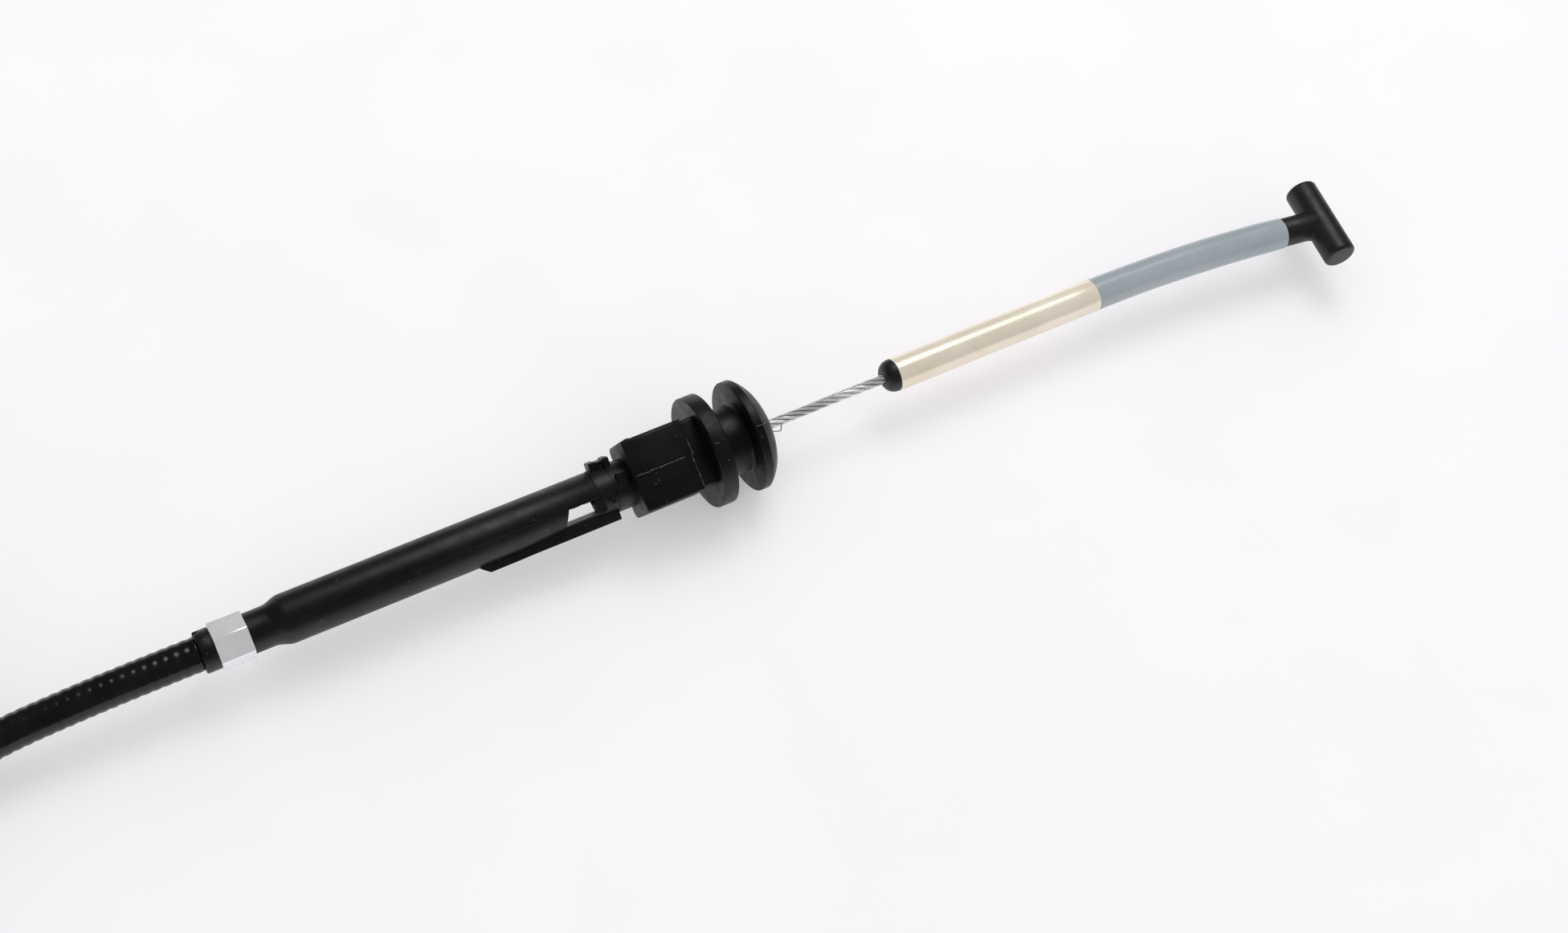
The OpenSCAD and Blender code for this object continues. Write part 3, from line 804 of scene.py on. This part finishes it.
def make_flash_and_edge_highlights():
    """Thin pale lines on the grommet: flash left by the mould, and painted highlights along the block's
    front edge.
    """
    sides = 6
    top = BLOCK_HALF - 0.1
    flash_and_highlights = Shell()
    wander = [(BLOCK_REAR + 0.5 + i, 0.06 * math.sin(1.7 * i)) for i in range(14)]
    flash_and_highlights.tube([(x, y, BLOCK_HALF) for x, y in wander], 0.07, sides)
    # Painted highlight: pale lines along the block's front edge. The upper half is bowed, the lower half
    # is straight, and a short jog joins them.
    bowed_edge_highlight = [(BLOCK_FRONT + 0.13 - 0.01 * y * y, y, top) for y in (0.2, 3, 6, 8.7)]
    flash_and_highlights.tube(bowed_edge_highlight, 0.09, sides)
    flash_and_highlights.tube([(BLOCK_FRONT - 0.27, y, top) for y in (-8.5, -6, -3, -0.2)], 0.08, sides)
    flash_and_highlights.tube([(BLOCK_FRONT + 0.1 - 0.38 * t, 0.1 - 0.15 * t, BLOCK_HALF - 0.05) for t in (0, 1)],
               0.08, sides)
    flash_and_highlights.tube([(x, 0, FLANGE_R) for x in (-7.3, -6.6, -5.9)], 0.05, sides)
    flash_and_highlights.tube([(x, 0.2, FLANGE_R) for x in (4.3, 5.6, 7.0)], 0.05, sides)
    flash_and_highlights.turned(BLOCK_ROLL)
    return place(flash_and_highlights.piece("flash_and_edge_highlight"), "housing", "grommet_rubber", FLASH_AND_EDGE_HIGHLIGHT)


def make_crimp_ring():
    """A short hexagonal sleeve, crimped round."""
    rear, front = span("crimp_ring")
    corner_r, round_r, bore, turn = 6.15, 0.9, 4.93, math.radians(12)
    outer = [hex_ring(x, corner_r - inset, round_r, turn)
             for x, inset in soft_stations(rear, front, 0.3)]
    inner = []
    for x in (front, rear):
        scales = [bore / math.hypot(y, z) for _, y, z in outer[0]]
        inner.append([(x, y * k, z * k) for k, (_, y, z) in zip(scales, outer[0])])
    piece = Shell().sleeve(outer + inner).piece("crimp_ring_body", 28)
    return place(piece, "housing", "crimp_alloy", CRIMP, "crimp_ring")


# ---------------------------------------------------------------- the rope
ROPE_R = 1.25
WIRE_R = ROPE_R / 9
STRANDS = 6
WIRES = 6
STRAND_LAY = 19.0
WIRE_LAY = 7.5


def wire_path(strand, wire, x0, x1):
    """The path of one wire of one strand between two stations."""
    step, hand = 0.55, -1
    lay_r = ROPE_R - 3 * WIRE_R
    slope = hand * 2 * math.pi * lay_r / STRAND_LAY
    count = max(2, int((x1 - x0) / step))
    path = []
    for i in range(count + 1):
        x = x0 + (x1 - x0) * i / count
        a = hand * 2 * math.pi * x / STRAND_LAY + 2 * math.pi * strand / STRANDS
        b = -hand * 2 * math.pi * x / WIRE_LAY + 2 * math.pi * wire / WIRES + strand
        out = Vector((0, math.sin(a), math.cos(a)))
        along = Vector((1, slope * math.cos(a), -slope * math.sin(a))).normalized()
        across = along.cross(out)
        path.append(Vector((x, 0, 0)) + lay_r * out
                    + 2 * WIRE_R * (math.cos(b) * out + math.sin(b) * across))
    return path


def stranded(shell, x0, x1):
    """Six strands of six outer wires each, laid round a core, between two stations."""
    core_r = 0.75
    for strand in range(STRANDS):
        for wire in range(WIRES):
            shell.tube(wire_path(strand, wire, x0, x1), WIRE_R * 1.02, 5)
    shell.tube(straight(x0, x1, 20), core_r, 10)


def straight(x0, x1, steps):
    """Points along the cable axis."""
    return [(x0 + (x1 - x0) * i / steps, 0, 0) for i in range(steps + 1)]


def make_core_rope():
    """One rope from inside the conduit to the T, so that it stays whole as the rod slides."""
    rear = span("guide_rope")[0]
    front = span("core_rope")[1]
    # Its wires are modelled where the rope can be seen, and its hidden ends are plain
    laid_from, laid_to, overlap = -64.0, 50.0, 1
    plain_r = 1.17
    shell = Shell()
    shell.tube(straight(rear, laid_from + overlap, 60), plain_r, 12)
    stranded(shell, laid_from, laid_to)
    shell.tube(straight(laid_to - overlap, front, 30), plain_r, 12)
    piece = shell.piece("core_rope_strands")
    piece.data.materials.append(ROPE)
    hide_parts("core_rope", "guide_rope")
    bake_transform(piece)
    return piece


def make_stray_wire():
    """A broken outer wire that has sprung away from the rope at the grommet's mouth."""
    start, steps = MOUTH_X + 0.2, 14
    path = []
    for i in range(steps + 1):
        t = i / steps
        bend = math.sin(min(1, t * 1.3) * math.pi / 2)
        hook = max(0, t - 0.72)
        path.append((start + 4.6 * t - 1.5 * hook, -1.15 - 1.9 * bend + 5.0 * hook,
                     0.2 + 0.5 * bend + 2.2 * hook))
    shell = Shell().tube(path, WIRE_R, 6)
    return place(shell.piece("stray_wire"), "pull_rod", "rope_steel", SPRUNG)


# ---------------------------------------------------------------- the pull rod's pieces
SLEEVE_START, SLEEVE_END = span("metal_sleeve")
# The plastic sleeve's length and the angle it is bent through, as in the CAD part
BENT_L = 60.2
BEND = math.radians(7.5)
BEND_R = BENT_L / BEND
TIP_X = SLEEVE_END + BENT_L
T_AXIS_X = TIP_X + 12.5
T_BAR_R = 4.4
T_BAR_HALF = 12.0


def bend_along_sleeve(piece):
    """Bends a piece that was made straight, as the plastic sleeve is bent."""
    for v in piece.data.vertices:
        x, y, z = v.co / MM
        a = min(max(x - SLEEVE_END, 0), BENT_L) / BEND_R
        beyond = max(x - TIP_X, 0)
        r = BEND_R + y
        if x > SLEEVE_END:
            v.co = Vector((SLEEVE_END + r * math.sin(a) + beyond * math.cos(a),
                           r * math.cos(a) - BEND_R - beyond * math.sin(a), z)) * MM
    return piece


def make_nose_plug():
    """The plug in the metal sleeve's rear end, with a domed nose round the rope."""
    rear, front = span("nose_plug")
    r, tip_r, spigot_r, bore, steps = 4.25, 1.6, 3.45, ROPE_R + 0.12, 16
    dome_front = SLEEVE_START - 0.25
    dome = [(rear + 0.1, bore), (rear, ROPE_R + 0.3)]
    for i in range(1, steps + 1):
        a = math.radians(90 * i / steps)
        dome.append((dome_front - (dome_front - rear) * math.cos(a),
                     tip_r + (r - tip_r) * math.sin(a) ** 0.9))
    shell = Shell().lathe(dome + [(SLEEVE_START - 0.05, r), (SLEEVE_START, r - 0.1),
                                  (SLEEVE_START, spigot_r), (front, spigot_r), (front, bore)])
    return place(shell.piece("nose_plug_body"), "pull_rod", "black_plastic", BLACK_T, "nose_plug")


def make_metal_sleeve():
    """A drawn tube with softly turned ends."""
    rear, front = SLEEVE_START, SLEEVE_END
    r, bore = 4.35, 3.5
    profile = ([(rear, bore + 0.12), (rear, r - 0.28)] + arc(rear + 0.2, r - 0.2, 0.2, 180, 90, 3)
               + [(rear + 0.9, r - 0.02), (rear + 1.5, r)]
               + [(rear + (front - rear) * i / 8, r) for i in range(1, 8)]
               + arc(front - 0.12, r - 0.12, 0.12, 90, 0, 3)
               + [(front, bore + 0.1), (front - 0.1, bore), (rear + 0.12, bore)])
    shell = Shell().lathe(profile, sides=144)
    return place(shell.piece("metal_sleeve_body"), "pull_rod", "sleeve_metal", CHAMPAGNE, "metal_sleeve")


def make_plastic_sleeve():
    """The bent tube, a little uneven along its length and drawn in at its front end."""
    rear, front = SLEEVE_END, TIP_X
    r, bore, steps, bore_steps = 4.3, 2.6, 48, 24
    middle = []
    for i in range(steps + 1):
        t = i / steps
        narrow = 0.03 * math.sin(9 * t) * math.sin(math.pi * t) + 0.12 * ease((t - 0.9) / 0.1)
        middle.append((rear + 0.4 + (front - rear - 0.8) * t, r - narrow))
    profile = ([(rear, bore), (rear, r - 0.2)] + arc(rear + 0.15, r - 0.15, 0.15, 180, 90, 3) + middle
               + arc(front - 0.25, r - 0.37, 0.25, 90, 0, 4) + [(front, bore)]
               + [(rear + (front - rear) * (1 - i / bore_steps), bore) for i in range(1, bore_steps)])
    piece = bend_along_sleeve(Shell().lathe(profile).piece("plastic_sleeve_body"))
    return place(piece, "pull_rod", "sleeve_plastic", BLUE_GREY, "plastic_sleeve")


STEM_R = 3.9


def make_t_end():
    """The moulded T: a bar, the stem that takes the rope's end, and the web that spreads between."""
    half, r, round_r = T_BAR_HALF, T_BAR_R, 1.0
    bar = Shell().lathe([(-half, NEAR_AXIS)] + arc(-half + round_r, r - round_r, round_r, 180, 90, 6)
                        + arc(half - round_r, r - round_r, round_r, 90, 0, 6) + [(half, NEAR_AXIS)])
    bar.verts = [Vector((T_AXIS_X - v.y, v.x, v.z)) for v in bar.verts]
    piece = bar.piece("t_bar")
    join(piece, make_t_stem(), make_t_web())
    piece.name = "t_end_body"
    bend_along_sleeve(piece)
    return place(piece, "pull_rod", "black_plastic", BLACK_T, "t_end")


def make_t_stem():
    """The stem, with the spigot that goes into the plastic sleeve."""
    start, spigot_r, bore = TIP_X - 8, 2.4, 1.5
    stem = Shell().lathe([(start, bore), (start, spigot_r), (TIP_X, spigot_r), (TIP_X, STEM_R - 0.1),
                          (TIP_X + 0.15, STEM_R), (T_AXIS_X - T_BAR_R - 1.2, STEM_R),
                          (T_AXIS_X - 2.6, STEM_R + 0.02), (T_AXIS_X - 1, STEM_R - 0.2),
                          (T_AXIS_X - 1, bore)])
    return stem.piece("t_stem")


def make_t_web():
    """The root where the stem widens into the bar."""
    root, steps, sides = 1.3, 8, 48
    angles = [2 * math.pi * k / sides for k in range(sides)]
    rings = []
    for i in range(steps + 1):
        t = i / steps
        wide = STEM_R + root * 0.9 * t ** 2
        tall = min(STEM_R, T_BAR_R - 0.1) * (1 - 0.04 * t)
        x = T_AXIS_X - T_BAR_R - root + (root + 1.6) * t
        rings.append([(x, wide * math.cos(a), tall * math.sin(a)) for a in angles])
    return Shell().loft(rings).piece("t_web")


# ---------------------------------------------------------------- the far fitting's pieces
FAR_Y, FAR_Z = -9.0, -6.4
THREAD_R = 4.0
THREAD_PITCH = 1.25
THREAD_DEPTH = 0.62


def round_ring(x, radii):
    """Points round the cable axis at x, at a radius for each angle."""
    angles = [2 * math.pi * k / len(radii) for k in range(len(radii))]
    return [(x, r * math.sin(a), r * math.cos(a)) for r, a in zip(radii, angles)]


def thread_radius(x, share, least_cut):
    """The thread's radius at a station, for a share of a turn."""
    turn = (x / THREAD_PITCH - share) % 1
    groove = min(1.0, max(0.0, 1.6 * (1 - abs(2 * turn - 1)) - 0.2))
    return THREAD_R - THREAD_DEPTH * max(groove, least_cut)


def make_adjuster():
    """The adjuster's rolled thread, with the spigot that the dust cap grips."""
    rear, front = span("adjuster_tube")
    spigot_r, bore, sides, spigot_l = 2.6, 1.6, 40, 8.0
    steps_per_turn, run_out = 8, 1.2
    thread_rear = rear + spigot_l
    rings = [round_ring(rear, [bore] * sides), round_ring(rear, [spigot_r] * sides),
             round_ring(thread_rear, [spigot_r] * sides)]
    count = round((front - thread_rear) / (THREAD_PITCH / steps_per_turn))
    for i in range(count + 1):
        x = thread_rear + (front - thread_rear) * i / count
        lead = min(1.0, (x - thread_rear) / run_out, (front - x) / run_out + 0.3)
        rings.append(round_ring(x, [thread_radius(x, k / sides, 1 - lead) for k in range(sides)]))
    rings.append(round_ring(front, [bore] * sides))
    piece = Shell().sleeve(rings).moved(FAR_Y, FAR_Z).piece("adjuster_thread", 50)
    return place(piece, "housing", "plated_steel", PLATED, "adjuster_tube")


def make_nut(node, body, name):
    """A hexagon nut with both faces' corners turned off."""
    rear, front = span(node)
    depth = front - rear
    flat_r = min(size_of(node, 1), size_of(node, 2)) / 2
    bore, mouth, sides = THREAD_R + 0.06, 0.4, 96
    sixth = math.pi / 3
    from_flat = [(2 * math.pi * k / sides + sixth / 2) % sixth - sixth / 2 for k in range(sides)]
    stations = [0, 0.12, 0.25, 0.4, 0.55, 0.7]
    rings = [round_ring(rear, [bore + mouth] * sides)]
    for x in stations + [depth - s for s in stations[::-1]]:
        cone_r = flat_r - 0.2 + 1.75 * min(x, depth - x)
        rings.append(round_ring(rear + x, [min(cone_r, flat_r / math.cos(a)) for a in from_flat]))
    rings += [round_ring(front, [bore + mouth] * sides), round_ring(front - mouth, [bore] * sides),
              round_ring(rear + mouth, [bore] * sides)]
    piece = Shell().sleeve(rings).moved(FAR_Y, FAR_Z).piece(name, 24)
    return place(piece, body, "plated_steel", PLATED, node)


def make_ferrule():
    """The far ferrule, rolled onto the conduit with two grooves."""
    rear, front = span("far_ferrule")
    r, bore, grip, grip_r = 5.4, 1.6, 12.0, 4.25
    groove_half, groove_depth, steps = 0.7, 0.45, 40
    grooves = (front - 8.5, front - 4.5)
    profile = [(rear, bore), (rear, r - 0.3), (rear + 0.3, r)]
    for i in range(steps + 1):
        x = front - 11 + 9 * i / steps
        dip = sum(math.exp(-((x - middle) / groove_half) ** 2) for middle in grooves)
        profile.append((x, r - groove_depth * dip))
    profile += [(front - 0.4, r), (front, r - 0.4), (front, grip_r), (front - grip, grip_r),
                (front - grip, bore)]
    piece = Shell().lathe(profile, sides=72).moved(FAR_Y, FAR_Z).piece("far_ferrule_body")
    return place(piece, "housing", "plated_steel", PLATED, "far_ferrule")


# ---------------------------------------------------------------- every piece, the cord first
conduit, conduit_path, conduit_length = make_conduit()
conduit.data.materials.append(JACKET)
far_pieces = [make_adjuster(), make_ferrule(),
              make_nut("inner_lock_nut", "inner_nut", "inner_nut_body"),
              make_nut("outer_lock_nut", "outer_nut", "outer_nut_body")]
make_guide_tube()
make_latch_sleeve()
make_grommet()
make_flash_and_edge_highlights()
make_crimp_ring()
make_core_rope()
make_stray_wire()
make_nose_plug()
make_metal_sleeve()
make_plastic_sleeve()
make_t_end()


# ---------------------------------------------------------------- CAD nodes that stay as they are
KEPT = {
    "mouth_bush": NATURAL, "inner_seat": NATURAL, "liner_end": NATURAL, "wiper_seal": SEAL,
    "jacket_end": JACKET, "far_jacket_end": JACKET, "armour_end": ARMOUR, "swage_stop": BRASS,
    "coupling_bush": BLACK, "t_core": PLATED, "tip_rope": ROPE, "lock_washers": PLATED, "dust_cap": SEAL,
    "far_rope": ROPE, "end_nipple": PLATED, "coil_ties": TIE,
}
for node, material in KEPT.items():
    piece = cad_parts[node]
    for piece_slot in piece.material_slots:
        piece_slot.material = material


# ---------------------------------------------------------------- floor and light, in metres
FLOOR_Z = -0.0144


def make_floor():
    """A pale floor with a faint glow of its own, which keeps its shadows as pale as the photo's."""
    mesh = bpy.data.meshes.new("floor")
    reach, level = 3.0, FLOOR_Z
    mesh.from_pydata([(-reach, -reach, level), (reach, -reach, level),
                      (reach, reach, level), (-reach, reach, level)], [], [(0, 1, 2, 3)])
    floor = bpy.data.objects.new("floor", mesh)
    bpy.context.scene.collection.objects.link(floor)
    m = Recipe("floor", Specular_IOR_Level=0.2, Emission_Color=(0.99, 0.975, 1, 1), Emission_Strength=0.3)
    m.colour(m.ramp(m.noise(14, 6), [(0.3, (0.575, 0.568, 0.572)), (0.7, (0.605, 0.598, 0.602))]))
    m.roughness(m.range(m.noise(30, 3), 0.75, 0.9))
    mesh.materials.append(m.material)


def make_softbox():
    """One square light from above, on the far right, so that the round pieces show long highlights."""
    at, size = Vector((0.37, 0.42, 1.0)), 0.58
    light = bpy.data.lights.new("softbox", "AREA")
    light.energy = 3.6
    light.size = size
    light.color = (1, 0.995, 0.98)
    lamp = bpy.data.objects.new("softbox", light)
    lamp.location = at
    lamp.rotation_euler = (-at).to_track_quat("-Z", "Y").to_euler()
    bpy.context.scene.collection.objects.link(lamp)


def make_world(seen, lit):
    """A dim room as glossy surfaces see it, with brighter even light on everything else."""
    world = bpy.data.worlds.new("studio")
    world.use_nodes = True
    tree = world.node_tree
    sky = tree.nodes["Background"]
    path = tree.nodes.new("ShaderNodeLightPath")
    level = tree.nodes.new("ShaderNodeMapRange")
    level.inputs["To Min"].default_value = lit
    level.inputs["To Max"].default_value = seen
    tree.links.new(path.outputs["Is Glossy Ray"], level.inputs["Value"])
    tree.links.new(level.outputs["Result"], sky.inputs["Strength"])
    sky.inputs["Color"].default_value = (0.985, 0.975, 1.0, 1)
    bpy.context.scene.world = world


make_floor()
bpy.context.scene.view_settings.view_transform = "Standard"
make_softbox()
make_world(seen=0.07, lit=0.93)
